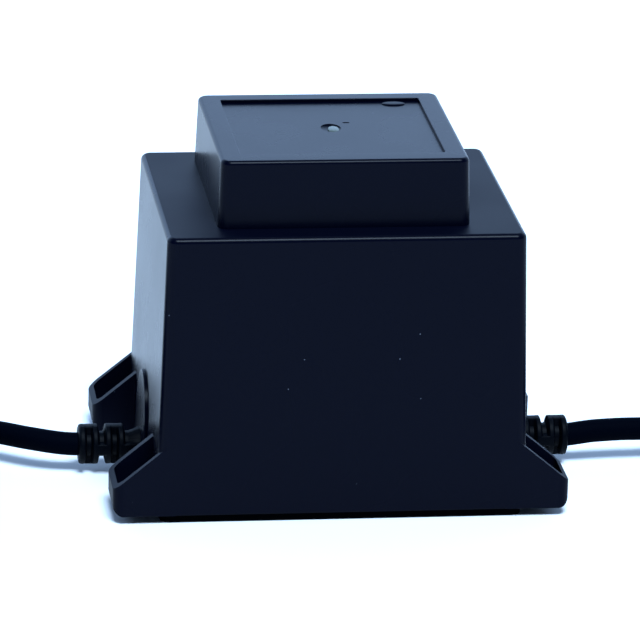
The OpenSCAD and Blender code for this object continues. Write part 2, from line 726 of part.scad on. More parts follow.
// The plug lies flat on the input coil, pins along -X
module plug_body() {
    face_x = input_end.x - plug_neck_l - plug_l;
    color([0.06, 0.07, 0.09])
        difference() {
            hull() {
                for (y = [-1, 1])
                    translate([0, input_end.y + y * (plug_w - plug_t) / 2, input_end.z]) {
                        rod([face_x, 0, 0], [face_x + plug_l, 0, 0], plug_t / 2 - plug_edge_r / 2);
                        rod([face_x + plug_edge_r / 2, 0, 0], [face_x + plug_l - plug_edge_r, 0, 0], plug_t / 2);
                    }
                rod([input_end.x - cable_d, input_end.y, input_end.z], input_end, plug_neck_d / 2);
            }
            for (y = [-1, 1])
                pin_rod(y, face_x - over, face_x + pin_in, pin_d / 2);
        }
}

// A rod on a pin's axis between two places along X
module pin_rod(side, from_x, to_x, r) {
    y = input_end.y + side * pin_pitch / 2;
    rod([from_x, y, input_end.z], [to_x, y, input_end.z], r);
}

module plug_pins() {
    face_x = input_end.x - plug_neck_l - plug_l;
    tip_x = face_x - pin_l;
    pin_r = pin_d / 2 - cable_gap;
    color([0.8, 0.8, 0.78])
        for (y = [-1, 1]) {
            pin_rod(y, tip_x + pin_r, face_x - sleeve_l - cable_gap, pin_r);
            pin_rod(y, tip_x + pin_r, face_x + pin_in - cable_gap, pin_r - sleeve_t);
            translate([tip_x + pin_r, input_end.y + y * pin_pitch / 2, input_end.z])
                sphere(pin_r, $fn = 32);
        }
}

module plug_pin_sleeves() {
    face_x = input_end.x - plug_neck_l - plug_l;
    pin_r = pin_d / 2 - cable_gap;
    color([0.06, 0.07, 0.09])
        for (y = [-1, 1])
            difference() {
                pin_rod(y, face_x - sleeve_l, face_x + pin_in / 2, pin_r);
                pin_rod(y, face_x - sleeve_l - over, face_x + pin_in / 2 + over, pin_r - sleeve_t + fill_gap / 2);
            }
}

// Where a stripped core of the output lead starts, and how far along it a share lies
function strip_point(i, share) =
    let (side = 2 * i - 1)
    [output_end.x + share * strip_l,
        output_end.y + side * (wire_y + share * (strip_spread - core_wire_pitch) / 2),
        output_end.z - share * strip_drop];

module output_core_ends() {
    color([0.5, 0.3, 0.2])
        for (i = [0, 1])
            difference() {
                rod(strip_point(i, 0), strip_point(i, 1), wire_r);
                translate([output_end.x - 2 * wire_r, output_end.y - strip_spread, output_end.z - cable_d])
                    cube([2 * wire_r, 2 * strip_spread, 2 * cable_d]);
            }
}

module output_ferrules() {
    color([0.75, 0.75, 0.72])
        for (i = [0, 1])
            rod(strip_point(i, 1), strip_point(i, 1 + ferrule_l / strip_l), ferrule_d / 2);
}

case();
base_plate();
potting_resin();
core_e_stack();
core_i_stack();
bobbin();
primary_winding();
secondary_winding();
primary_tape();
secondary_tape();
thermal_fuse();
input_cable_entry();
output_cable_entry();
input_splices();
output_splices();
primary_tails();
secondary_tails();
input_strain_relief();
output_strain_relief();
input_cord();
input_coil();
input_coil_tie();
plug_body();
plug_pins();
plug_pin_sleeves();
output_cord();
output_coil();
output_coil_tie();
output_core_ends();
output_ferrules();
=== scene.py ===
# An encapsulated low frequency transformer in its black moulded case, with its two leads.
# The CAD frame gives the sizes in metres. X runs to the output lead, Y to the back and Z up.
import math

import bmesh
import bpy
from mathutils import Matrix, Vector


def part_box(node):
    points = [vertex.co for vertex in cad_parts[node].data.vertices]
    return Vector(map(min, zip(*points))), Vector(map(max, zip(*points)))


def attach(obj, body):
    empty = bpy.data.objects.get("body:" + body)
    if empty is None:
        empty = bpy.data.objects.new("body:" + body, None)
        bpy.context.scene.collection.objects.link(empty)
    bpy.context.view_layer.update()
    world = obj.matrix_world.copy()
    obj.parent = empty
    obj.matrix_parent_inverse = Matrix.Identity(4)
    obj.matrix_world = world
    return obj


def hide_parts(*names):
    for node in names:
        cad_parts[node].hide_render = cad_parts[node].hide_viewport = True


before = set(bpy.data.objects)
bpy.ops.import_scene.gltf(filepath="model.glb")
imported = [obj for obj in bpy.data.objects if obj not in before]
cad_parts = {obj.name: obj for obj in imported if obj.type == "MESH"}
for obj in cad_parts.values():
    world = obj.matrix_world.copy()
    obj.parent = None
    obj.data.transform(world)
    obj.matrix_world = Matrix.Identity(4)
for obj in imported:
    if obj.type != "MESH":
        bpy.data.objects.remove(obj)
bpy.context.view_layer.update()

scene = bpy.context.scene
MM = 0.001


# Camera, lights and floor

CAMERA_PLACE = (-189.817 * MM, -1392.455 * MM, 525.319 * MM)
CAMERA_TURN_DEG = 7.686
CAMERA_DOWN_DEG = 18.829
CAMERA_ROLL_DEG = 1.545
CAMERA_LENS = 281.25

# Colours of the light from the tent's walls and from the soft box, both bluer than white
TENT_LIGHT = (1.0, 1.5, 2.35)
KEY_LIGHT = (1.0, 1.3, 1.65)
SOFT_BOX_PLACE = (0.1, -0.85, 1.65)
SOFT_BOX_WIDTH_DEG = 24
SOFT_BOX_STRENGTH = 3.6


def place_camera():
    """The photograph's viewpoint: a long lens, turned a little to the right and looking down."""
    camera = bpy.data.objects.new("camera", bpy.data.cameras.new("camera"))
    camera.data.lens = CAMERA_LENS
    camera.data.sensor_width = 36
    camera.data.clip_start = 0.05
    camera.matrix_world = (
        Matrix.Translation(CAMERA_PLACE)
        @ Matrix.Rotation(-math.radians(CAMERA_TURN_DEG), 4, "Z")
        @ Matrix.Rotation(math.radians(90 - CAMERA_DOWN_DEG), 4, "X")
        @ Matrix.Rotation(math.radians(CAMERA_ROLL_DEG), 4, "Z")
    )
    scene.collection.objects.link(camera)
    scene.camera = camera


place_camera()


# Leads: the free runs' points are those of the CAD, and the coils follow its formula

CABLE_D = 7 * MM
CABLE_R = CABLE_D / 2
INPUT_ROUTE = [
    (-0.07355, 0, 0.0085), (-0.078, 0.0003, 0.0087), (-0.082, 0.0012, 0.009), (-0.086, 0.0028, 0.0092),
    (-0.090, 0.0051, 0.0092), (-0.097, 0.0098, 0.0091), (-0.107, 0.0162, 0.0084),
    (-0.117, 0.0223, 0.0073), (-0.125, 0.027, 0.0062), (-0.131, 0.0301, 0.0054),
    (-0.137, 0.0323, 0.0049), (-0.143, 0.033, 0.0048)]
OUTPUT_ROUTE = [
    (0.07355, 0, 0.0085), (0.078, 0, 0.009), (0.082, 0.0002, 0.0094), (0.090, 0.0007, 0.0096),
    (0.097, 0.001, 0.0095), (0.104, 0.0022, 0.0091), (0.110, 0.0052, 0.0085), (0.115, 0.0094, 0.0078),
    (0.119, 0.0144, 0.0071), (0.123, 0.020, 0.0065), (0.128, 0.0254, 0.0059), (0.134, 0.0292, 0.0053),
    (0.140, 0.0308, 0.0049), (0.146, 0.031, 0.0048)]
INPUT_COIL_MIDDLE = Vector((-0.150, -0.0098, 0))
OUTPUT_COIL_MIDDLE = Vector((0.153, -0.0118, 0))
INPUT_LAYERS = 4
OUTPUT_LAYERS = 2
LAYER_TURNS = 2
COIL_PITCH = 7.4 * MM
COIL_INNER_R = 28 * MM
COIL_OUTER_R = COIL_INNER_R + LAYER_TURNS * COIL_PITCH
COIL_Z = 4.8 * MM
TAIL_BEND_R = 28.5 * MM
# The part of a turn that a climb takes on either side of a reversal, and that a coil ends early
EARLY_SHARE = 0.25
TURN_STEPS = 48
# How far the plug's middle lies above the turn it rests on
PLUG_RISE = 10.8 * MM


def ease(t):
    """A smooth change from 0 to 1."""
    t = min(1, max(0, t))
    return t * t * (3 - 2 * t)


def smooth_route(points, heading):
    """A rounded line through points, which starts and ends along a heading."""
    steps = 6
    knots = [Vector(p) for p in points]
    reach = heading * (knots[1] - knots[0]).length
    knots = [knots[1] - 2 * reach] + knots + [knots[-2] + 2 * reach]
    line = []
    for before, here, there, after in zip(knots, knots[1:], knots[2:], knots[3:]):
        for step in range(steps):
            t = step / steps
            line.append(0.5 * (2 * here + (there - before) * t
                               + (2 * before - 5 * here + 4 * there - after) * t ** 2
                               + (3 * here - before - 3 * there + after) * t ** 3))
    return line + [knots[-2]]


def wound_radius(turns):
    """A coil's radius after some turns: in and out again, layer by layer."""
    part = turns % (2 * LAYER_TURNS)
    return COIL_OUTER_R - COIL_PITCH * min(part, 2 * LAYER_TURNS - part)


def wound_height(turns, layers, rise):
    """A coil's height after some turns: a layer is climbed round each reversal."""
    climbed = sum(ease((turns - k * LAYER_TURNS) / (2 * EARLY_SHARE) + 0.5) for k in range(1, layers))
    last = layers * LAYER_TURNS - EARLY_SHARE
    return COIL_Z + COIL_PITCH * climbed + rise * ease(1 + (turns - last) / EARLY_SHARE)


def coil_line(middle, side, layers, rise):
    """The middle line of a coil, from its straight start to its end across the top."""
    last = layers * LAYER_TURNS - EARLY_SHARE
    line = []
    for step in range(int(last * TURN_STEPS) + 1):
        turns = step / TURN_STEPS
        angle = 2 * math.pi * turns
        radius = wound_radius(turns)
        line.append(middle + Vector((side * radius * math.sin(angle), radius * math.cos(angle),
                                     wound_height(turns, layers, rise))))
    end_r = wound_radius(last)
    end_z = wound_height(last, layers, rise)
    bend_steps = TURN_STEPS // 4
    for step in range(1, bend_steps + 1):
        angle = math.pi / 2 * (3 + step / bend_steps)
        line.append(middle + Vector((side * (TAIL_BEND_R * (1 + math.sin(angle)) - end_r),
                                     TAIL_BEND_R * math.cos(angle), end_z)))
    line.append(line[-1] + Vector((side * CABLE_D, 0, 0)))
    return line


def cable(name, line):
    """A round cable along a line, as a curve with closed ends."""
    curve = bpy.data.curves.new(name, "CURVE")
    curve.dimensions = "3D"
    curve.bevel_depth = CABLE_R
    curve.bevel_resolution = 7
    curve.use_fill_caps = True
    spline = curve.splines.new("POLY")
    spline.points.add(len(line) - 1)
    for knot, point in zip(spline.points, line):
        knot.co = (*point, 1)
    spline.use_smooth = True
    piece = bpy.data.objects.new(name, curve)
    scene.collection.objects.link(piece)
    return piece


def lead(name, route, side, middle, layers, rise):
    """A whole lead: its free run and its coil. Gives the piece and the point where it ends."""
    line = smooth_route(route, Vector((side, 0, 0))) + coil_line(middle, side, layers, rise)
    return cable(name, line), line[-1]


cable_input, input_end = lead("cable_input", INPUT_ROUTE, -1, INPUT_COIL_MIDDLE, INPUT_LAYERS, PLUG_RISE)
cable_output, output_end = lead("cable_output", OUTPUT_ROUTE, 1, OUTPUT_COIL_MIDDLE, OUTPUT_LAYERS,
                                COIL_PITCH)


# Materials

def linear(hex_colour):
    """An sRGB hex colour as linear red, green, blue and a full alpha."""
    shares = [int(hex_colour[i:i + 2], 16) / 255 for i in (1, 3, 5)]
    return [s / 12.92 if s <= 0.04045 else ((s + 0.055) / 1.055) ** 2.4 for s in shares] + [1.0]


def add_node(tree, kind, settings=None, values=None, links=None):
    """Adds a node with its own settings, its sockets' values and the sockets that feed it."""
    node = tree.nodes.new(kind)
    for name, value in (settings or {}).items():
        setattr(node, name, value)
    for name, value in (values or {}).items():
        node.inputs[name].default_value = value
    for name, socket in (links or {}).items():
        tree.links.new(socket, node.inputs[name])
    return node


def texture(tree, place, kind, unit, settings=None, **values):
    """Adds a texture whose unit is a length in metres. Gives its outputs."""
    return add_node(tree, kind, settings, {"Scale": 1 / unit, **values}, {"Vector": place}).outputs


# The part of its unit after which a wave texture repeats
WAVE_REPEAT = 2 * math.pi / 20

# Numbers of the mix node's colour sockets, whose names its other sockets share
MIX_FIRST = 6
MIX_SECOND = 7
MIX_RESULT = 2


def start_material(name, colour, roughness, **values):
    """A material with its shader, the values named with underscores for spaces.

    Gives the material, its node tree, its shader and the place in metres.
    """
    material = bpy.data.materials.new(name)
    material.use_nodes = True
    tree = material.node_tree
    shader = tree.nodes["Principled BSDF"]
    shader.inputs["Base Color"].default_value = linear(colour)
    shader.inputs["Roughness"].default_value = roughness
    for socket, value in values.items():
        shader.inputs[socket.replace("_", " ")].default_value = value
    place = add_node(tree, "ShaderNodeTexCoord").outputs["Object"]
    return material, tree, shader, place


def follow(tree, shader, pattern, relief=0.0, colours=None, roughness=None):
    """Lets the surface follow a pattern: in its relief in metres, between two colours or two roughnesses."""
    if relief:
        bump = add_node(tree, "ShaderNodeBump", values={"Distance": relief}, links={"Height": pattern})
        tree.links.new(bump.outputs["Normal"], shader.inputs["Normal"])
    if colours:
        first, second = (linear(colour) for colour in colours)
        blend = add_node(tree, "ShaderNodeMix", {"data_type": "RGBA"},
                         {MIX_FIRST: first, MIX_SECOND: second}, {0: pattern})
        tree.links.new(blend.outputs[MIX_RESULT], shader.inputs["Base Color"])
    if roughness:
        low, high = roughness
        spread = add_node(tree, "ShaderNodeMapRange", values={"To Min": low, "To Max": high},
                          links={"Value": pattern})
        tree.links.new(spread.outputs["Result"], shader.inputs["Roughness"])


BLACK_ABS = "#010310"
DUST_GREY = "#5a606c"


def moulded_abs(name, roughness, blasting_size):
    """ABS, injection moulded in a blasted tool: nearly black, blue-grey where it is seen at a low angle."""
    material, tree, shader, place = start_material(name, BLACK_ABS, roughness, IOR=1.14)
    flow = texture(tree, place, "ShaderNodeTexNoise", unit=30 * MM)["Fac"]
    follow(tree, shader, flow, roughness=(0.85 * roughness, 1.1 * roughness))
    blasting = texture(tree, place, "ShaderNodeTexNoise", unit=blasting_size, Detail=3.0)["Fac"]
    follow(tree, shader, blasting, relief=0.004 * MM)
    # A few specks of pale dust, with the distances from a speck's middle between which it fades
    apart = 9 * MM
    fade_start = 0.15 * MM
    fade_end = 0.2 * MM
    nearest = texture(tree, place, "ShaderNodeTexVoronoi", unit=apart)["Distance"]
    fade = {"From Min": fade_start / apart, "From Max": fade_end / apart, "To Min": 1, "To Max": 0}
    specks = add_node(tree, "ShaderNodeMapRange", values=fade, links={"Value": nearest})
    follow(tree, shader, specks.outputs["Result"], colours=(BLACK_ABS, DUST_GREY))
    return material


def base_abs_darkened_as_shade():
    """ABS with the plain eroded texture of a base that isn't seen in use: matt black, and darker and less
    shiny than the case as painted shade in the gap under the rim.
    """
    material, tree, shader, place = start_material("eroded_abs_darkened_as_shade", "#010204", 0.8, IOR=1.05)
    erosion = texture(tree, place, "ShaderNodeTexNoise", unit=0.5 * MM, Detail=3.0)["Fac"]
    follow(tree, shader, erosion, relief=0.02 * MM)
    return material


def cable_pvc():
    """Soft PVC, extruded as a cable jacket: matt black, with a slightly uneven skin."""
    material, tree, shader, place = start_material("extruded_soft_pvc", "#000209", 0.7, IOR=1.06)
    skin = texture(tree, place, "ShaderNodeTexNoise", unit=0.6 * MM, Detail=3.0)["Fac"]
    follow(tree, shader, skin, relief=0.01 * MM, roughness=(0.6, 0.75))
    return material


def relief_pvc():
    """Soft PVC, injection moulded: black, slightly glossy on its rounded edges."""
    material, tree, shader, place = start_material("moulded_soft_pvc", "#000207", 0.5, IOR=1.12)
    skin = texture(tree, place, "ShaderNodeTexNoise", unit=0.8 * MM)["Fac"]
    follow(tree, shader, skin, relief=0.01 * MM)
    return material


def cast_epoxy():
    """Filled epoxy, poured and cured: black, glossy, gently uneven."""
    material, tree, shader, place = start_material("cast_filled_epoxy", "#0c0c0e", 0.18)
    swell = texture(tree, place, "ShaderNodeTexNoise", unit=8 * MM)["Fac"]
    follow(tree, shader, swell, relief=0.05 * MM)
    filler = texture(tree, place, "ShaderNodeTexNoise", unit=1.5 * MM)["Fac"]
    follow(tree, shader, filler, roughness=(0.12, 0.3))
    return material


def lamination_steel():
    """Silicon steel sheets, punched and stacked: grey edges in fine level lines."""
    material, tree, shader, place = start_material("stacked_silicon_steel", "#6d7075", 0.42, Metallic=1.0)
    sheet = 0.5 * MM
    level = {"bands_direction": "Z"}
    edges = texture(tree, place, "ShaderNodeTexWave", unit=sheet / WAVE_REPEAT, settings=level)["Fac"]
    follow(tree, shader, edges, relief=0.06 * MM)
    oxide = texture(tree, place, "ShaderNodeTexNoise", unit=3 * MM, Detail=4.0)["Fac"]
    follow(tree, shader, oxide, colours=("#5d5f66", "#8b8d92"))
    return material


def moulded_nylon():
    """Glass filled polyamide, moulded: off-white and satin, with a fine grain of fibres."""
    material, tree, shader, place = start_material("moulded_glass_filled_nylon", "#d9d4c4", 0.45, IOR=1.53)
    fibres = texture(tree, place, "ShaderNodeTexNoise", unit=0.7 * MM, Detail=3.0)["Fac"]
    follow(tree, shader, fibres, relief=0.02 * MM)
    return material


def enamelled_wire(name, wire_pitch):
    """Copper wire with clear enamel, wound side by side: shiny brown-red lines."""
    material, tree, shader, place = start_material(name, "#b0572a", 0.25, Metallic=1.0, Coat_Weight=0.6)
    across = {"bands_direction": "Y"}
    turns = texture(tree, place, "ShaderNodeTexWave", unit=wire_pitch / WAVE_REPEAT, settings=across)["Fac"]
    follow(tree, shader, turns, relief=0.3 * wire_pitch, colours=("#7e3416", "#c8713a"))
    return material


def polyester_tape():
    """Polyester film tape, wrapped in overlapping turns: glossy yellow."""
    material, tree, shader, place = start_material("wrapped_polyester_tape", "#e2b72c", 0.22, IOR=1.58)
    creases = texture(tree, place, "ShaderNodeTexNoise", unit=5 * MM, Detail=3.0)["Fac"]
    follow(tree, shader, creases, relief=0.08 * MM, colours=("#cf9f1c", "#ecc647"))
    return material


def plain_metal(name, colour, roughness, mark_size):
    """A drawn or plated metal: shiny, with fine marks that dull it here and there."""
    material, tree, shader, place = start_material(name, colour, roughness, Metallic=1.0)
    marks = texture(tree, place, "ShaderNodeTexNoise", unit=mark_size, Detail=4.0, Roughness=0.7)["Fac"]
    follow(tree, shader, marks, relief=0.005 * MM, roughness=(0.7 * roughness, 1.5 * roughness))
    return material


def plain_plastic(name, colour, roughness, grain_size, ior=1.5):
    """A moulded or extruded plastic: plainly coloured, with a fine grain."""
    material, tree, shader, place = start_material(name, colour, roughness, IOR=ior)
    skin = texture(tree, place, "ShaderNodeTexNoise", unit=grain_size)["Fac"]
    follow(tree, shader, skin, relief=0.01 * MM)
    return material


def loop_fabric():
    """Nylon hook and loop band: matt black with a coarse weave."""
    material, tree, shader, place = start_material("woven_nylon_band", "#0b0c10", 0.85, Sheen_Weight=0.3)
    loops = texture(tree, place, "ShaderNodeTexVoronoi", unit=0.9 * MM)["Distance"]
    follow(tree, shader, loops, relief=0.25 * MM, colours=("#0a0b0e", "#1b1d24"))
    return material


# The tool's blasting is coarser for the shoulder and feet than for the case's walls and step.
# Both are drawn coarser than the real ones, so that they show.
ABS = moulded_abs("satin_moulded_abs", 0.28, 0.35 * MM)
COARSE_ABS = moulded_abs("coarse_moulded_abs", 0.5, 0.5 * MM)
# The base plate's material is painted shade: darker and less shiny than the case, so that the gap under the
# rim shows black
BASE_ABS_DARKENED_AS_SHADE = base_abs_darkened_as_shade()
JACKET = cable_pvc()
SOFT_PVC = relief_pvc()
EPOXY = cast_epoxy()
STEEL = lamination_steel()
NYLON = moulded_nylon()
PRIMARY_WIRE = enamelled_wire("fine_enamelled_copper", 0.6 * MM)
SECONDARY_WIRE = enamelled_wire("thick_enamelled_copper", 1.6 * MM)
TAPE = polyester_tape()
FUSE_CAN = plain_metal("drawn_aluminium_can", "#c3c6ca", 0.3, 0.8 * MM)
NICKEL = plain_metal("nickel_plated_brass", "#cfccc0", 0.16, 2 * MM)
TIN = plain_metal("tinned_copper_strands", "#bdbcb6", 0.34, 0.4 * MM)
CRIMP_SLEEVE = plain_plastic("extruded_nylon_sleeve", "#2a55b5", 0.35, 1 * MM)
PIN_SLEEVE = plain_plastic("moulded_nylon_sleeve", "#0b0c0f", 0.3, 1 * MM)
BROWN_CORE = plain_plastic("extruded_brown_pvc", "#5a2f18", 0.35, 1 * MM)
BLUE_CORE = plain_plastic("extruded_blue_pvc", "#1f5fa8", 0.35, 1 * MM)
BAND_FABRIC = loop_fabric()
# Clear epoxy that ran into the gate's pit and cured there
BEAD_EPOXY = plain_plastic("cured_clear_epoxy", "#434c45", 0.3, 2 * MM, ior=1.3)


# Mesh tools

def mesh_piece(name, points, faces):
    """A new piece from points and faces, with its faces turned outwards."""
    mesh = bpy.data.meshes.new(name)
    mesh.from_pydata([tuple(p) for p in points], [], faces)
    shape = bmesh.new()
    shape.from_mesh(mesh)
    bmesh.ops.recalc_face_normals(shape, faces=shape.faces)
    shape.to_mesh(mesh)
    shape.free()
    piece = bpy.data.objects.new(name, mesh)
    scene.collection.objects.link(piece)
    return piece


def loft(name, rings, joined_up=False):
    """A solid skinned over rings of equally many points. Its ends are closed, or joined to each other."""
    count = len(rings[0])
    spans = len(rings) if joined_up else len(rings) - 1
    faces = []
    for span in range(spans):
        low = span * count
        high = (span + 1) % len(rings) * count
        for k in range(count):
            after = (k + 1) % count
            faces.append((low + k, low + after, high + after, high + k))
    if not joined_up:
        faces.append(tuple(reversed(range(count))))
        faces.append(tuple(range(spans * count, (spans + 1) * count)))
    return mesh_piece(name, [p for ring in rings for p in ring], faces)


def bake(piece):
    """Turns a piece's modifiers into its mesh."""
    graph = bpy.context.evaluated_depsgraph_get()
    mesh = bpy.data.meshes.new_from_object(piece.evaluated_get(graph))
    piece.modifiers.clear()
    old = piece.data
    piece.data = mesh
    bpy.data.meshes.remove(old)


def combine(piece, tool, operation):
    """Cuts a tool out of a piece or joins it on, exactly, and removes the tool."""
    change = piece.modifiers.new("combine", "BOOLEAN")
    change.operation = operation
    change.solver = "EXACT"
    change.object = tool
    bake(piece)
    bpy.data.objects.remove(tool)


def soften(piece, width, segments=3):
    """Rounds a piece's sharp edges."""
    bevel = piece.modifiers.new("soft_edges", "BEVEL")
    bevel.width = width
    bevel.segments = segments
    bevel.limit_method = "ANGLE"
    bevel.angle_limit = math.radians(35)
    bake(piece)


def smooth(piece, angle_deg=35):
    """Shades a piece smooth but for its sharp edges, with its flat faces kept flat."""
    piece.data.shade_smooth()
    piece.data.set_sharp_from_angle(angle=math.radians(angle_deg))
    flat = piece.modifiers.new("flat_faces", "WEIGHTED_NORMAL")
    flat.keep_sharp = True


def fit(piece, material, slot, *nodes):
    """Gives a piece its material and hides the CAD nodes that it stands for. The slot is not used."""
    piece.data.materials.clear()
    piece.data.materials.append(material)
    if nodes:
        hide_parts(*nodes)
    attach(piece, "root")
    return piece


def rounded_rectangle(half_x, half_y, radius, steps=8):
    """A rounded rectangle's points about its middle, anticlockwise."""
    points = []
    for corner, (x, y) in enumerate([(1, 1), (-1, 1), (-1, -1), (1, -1)]):
        for step in range(steps + 1):
            angle = math.pi / 2 * (corner + step / steps)
            points.append((x * (half_x - radius) + radius * math.cos(angle),
                           y * (half_y - radius) + radius * math.sin(angle)))
    return points


def quarter_round(radius, steps=5):
    """Points of a rounded edge, as how far in and how far down each lies, from its side to its top."""
    angles = [math.pi / 2 * step / steps for step in range(steps + 1)]
    return [(radius * (1 - math.cos(a)), radius * (1 - math.sin(a))) for a in angles]


def edge_drop(distance, radius):
    """How far a rounded edge lies below its full height, at a distance in from the edge."""
    if distance >= radius:
        return 0
    return radius - math.sqrt(radius ** 2 - (radius - distance) ** 2)


def lathe(name, profile, start, direction, sides=48, joined_up=False):
    """A turned solid. The profile gives pairs of the distance along its axis and the radius there."""
    turn = direction.to_track_quat("Z", "Y")
    rings = []
    for along, radius in profile:
        ring = [Vector((radius * math.cos(a), radius * math.sin(a), along))
                for a in (2 * math.pi * k / sides for k in range(sides))]
        rings.append([start + turn @ point for point in ring])
    return loft(name, rings, joined_up)


def merge(name, parts):
    """One piece of several loose parts."""
    shape = bmesh.new()
    for part in parts:
        shape.from_mesh(part.data)
    mesh = bpy.data.meshes.new(name)
    shape.to_mesh(mesh)
    shape.free()
    for part in parts:
        bpy.data.objects.remove(part)
    piece = bpy.data.objects.new(name, mesh)
    scene.collection.objects.link(piece)
    return piece


# Case

case_low, case_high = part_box("case")
RIM_Z = case_low.z
TOP_Z = case_high.z
TIP_X = case_high.x
RIM_Y = case_high.y
DRAFT = math.tan(math.radians(1.75))
STEP_DRAFT = math.tan(math.radians(2))
STEP_HEIGHT = 20.1 * MM
SHOULDER_Z = TOP_Z - STEP_HEIGHT
CORNER_R = 3 * MM
FOOT_OUT = 12.4 * MM
RIM_X = TIP_X - FOOT_OUT
WALL = 2.5 * MM
EXIT_Z = 8.5 * MM
CABLE_HOLE_R = 5 * MM
ARCH_PROUD = 1 * MM
ARCH_R = 12.6 * MM
ARCH_MIDDLE_H = 16 * MM
ARCH_MIDDLE_Z = RIM_Z + ARCH_MIDDLE_H
OVERRUN = 1 * MM
STACK_HEIGHT = 58 * MM
CORE_TOP_Z = SHOULDER_Z - WALL
CORE_MIDDLE_Z = CORE_TOP_Z - STACK_HEIGHT / 2

STEP_HALF_X = 36 * MM
STEP_HALF_Y = 34.3 * MM
STEP_MIDDLE_Y = 0.5 * MM
RECESS_HALF_X = 29.75 * MM
RECESS_HALF_Y = 27.75 * MM
RECESS_MIDDLE_Y = 0.9 * MM
RECESS_DEPTH = 1 * MM
RECESS_FLOOR_Z = TOP_Z - RECESS_DEPTH


def drafted(half, z):
    """Half the main block's width or depth at a height, from that at its rim."""
    return half - DRAFT * (z - RIM_Z)


def level_ring(half_x, half_y, corner_r, z, middle_y=0.0):
    """A level rounded rectangle at a height."""
    return [Vector((x, y + middle_y, z)) for x, y in rounded_rectangle(half_x, half_y, corner_r)]


def drafted_ring(inset, z):
    """A ring of the main block at a height, set in by a distance."""
    return level_ring(drafted(RIM_X, z) - inset, drafted(RIM_Y, z) - inset, CORNER_R - inset, z)


def main_block():
    """The drafted block, from its rim to the shoulder's rounded edge."""
    rim_r = 0.4 * MM
    edge_r = 1.6 * MM
    rings = [drafted_ring(inset, RIM_Z + rise) for inset, rise in reversed(quarter_round(rim_r, 2))]
    rings += [drafted_ring(inset, SHOULDER_Z - drop) for inset, drop in quarter_round(edge_r)]
    return loft("case_shell", rings)


def step_block():
    """The drafted step, with the shallow recess in its top."""
    edge_r = 1.2 * MM
    lip_r = 0.25 * MM
    recess_corner_r = 0.8 * MM

    def ring(inset, z):
        """A ring of the step's outside at a height, set in by a distance."""
        out = STEP_DRAFT * (TOP_Z - z) - inset
        return level_ring(STEP_HALF_X + out, STEP_HALF_Y + out, CORNER_R - inset, z, STEP_MIDDLE_Y)

    def recess_ring(outset, z):
        """A ring of the recess at a height, set out by a distance."""
        return level_ring(RECESS_HALF_X + outset, RECESS_HALF_Y + outset, recess_corner_r + outset, z,
                          RECESS_MIDDLE_Y)

    rings = [ring(0, SHOULDER_Z - OVERRUN)]
    rings += [ring(inset, TOP_Z - drop) for inset, drop in quarter_round(edge_r)]
    rings += [recess_ring(outset, TOP_Z - drop) for drop, outset in quarter_round(lip_r, 3)]
    rings.append(recess_ring(0, RECESS_FLOOR_Z))
    return loft("step", rings)


# Marks in the recess: the middle of each across and back, then its half width and half length
GATE_PIT = (0, 2 * MM, 2.95 * MM, 4.1 * MM)
GATE_BEAD = (0.9 * MM, 2 * MM, 1.75 * MM, 3.3 * MM)
NICK = (5.2 * MM, 7.1 * MM, 1.1 * MM, 0.6 * MM)
BLISTER = (21.9 * MM, 25.9 * MM, 3.5 * MM, 2.2 * MM)
PIT_DEPTH = 0.8 * MM
NICK_DEPTH = 0.3 * MM
BLISTER_HEIGHT = 0.5 * MM
# How far the bead's top lies below the recess's floor
BEAD_SUNK = 0.05 * MM
PIT_Z = RECESS_FLOOR_Z - PIT_DEPTH


def dome(name, oval, open_z, top_z):
    """A flat topped dome on an oval, up or down from its open side, past which it runs on."""
    middle_x, middle_y, half_x, half_y = oval
    rise = top_z - open_z
    run_on = 0.5 * MM
    steps = 8
    sides = 32
    top_share = 0.05
    layers = [(1, open_z - math.copysign(run_on, rise))]
    layers += [(math.cos(a), open_z + rise * math.sin(a) ** 0.5)
               for a in (math.pi / 2 * step / steps for step in range(steps))]
    layers.append((top_share, top_z))
    turns = [2 * math.pi * k / sides for k in range(sides)]
    return loft(name, [[Vector((middle_x + half_x * share * math.cos(a),
                                middle_y + half_y * share * math.sin(a), z)) for a in turns]
                       for share, z in layers])


def mark_recess(shell):
    """Marks the recess: the pit of the gate, a nick behind it and a blister at the back."""
    floor_z = RECESS_FLOOR_Z
    combine(shell, dome("pit", GATE_PIT, floor_z, PIT_Z), "DIFFERENCE")
    combine(shell, dome("nick", NICK, floor_z, floor_z - NICK_DEPTH), "DIFFERENCE")
    combine(shell, dome("blister", BLISTER, floor_z, floor_z + BLISTER_HEIGHT), "UNION")


FOOT_W = 19.5 * MM
FOOT_ROOT_H = 18.2 * MM
FOOT_TIP_H = 8 * MM
# Rounding of a foot's tip, under it and at its corners in plan
FOOT_TIP_R = 3 * MM
FOOT_RIB = 2.5 * MM
FOOT_TIP_WALL = 1.5 * MM
FOOT_FLOOR = 3 * MM
# How far a foot reaches in behind the rim, through the case wall
FOOT_IN = 6 * MM
POCKET_CORNER_R = 1.8 * MM
# How far above a foot's root its pocket is cut, past the foot's highest point
POCKET_OVERRUN = 10 * MM
FOOT_EDGE_R = 0.25 * MM
SCREW_R = 2.25 * MM
SCREW_INSET = 7 * MM
# How far a foot's outer face lies inside the case's face, so that the two join cleanly
FLUSH = 0.02 * MM


def foot_top(x):
    """Height of a foot's sloping top, by the distance from the case's middle."""
    rise = (FOOT_ROOT_H - FOOT_TIP_H) / FOOT_OUT
    return RIM_Z + FOOT_TIP_H + rise * (TIP_X - x)


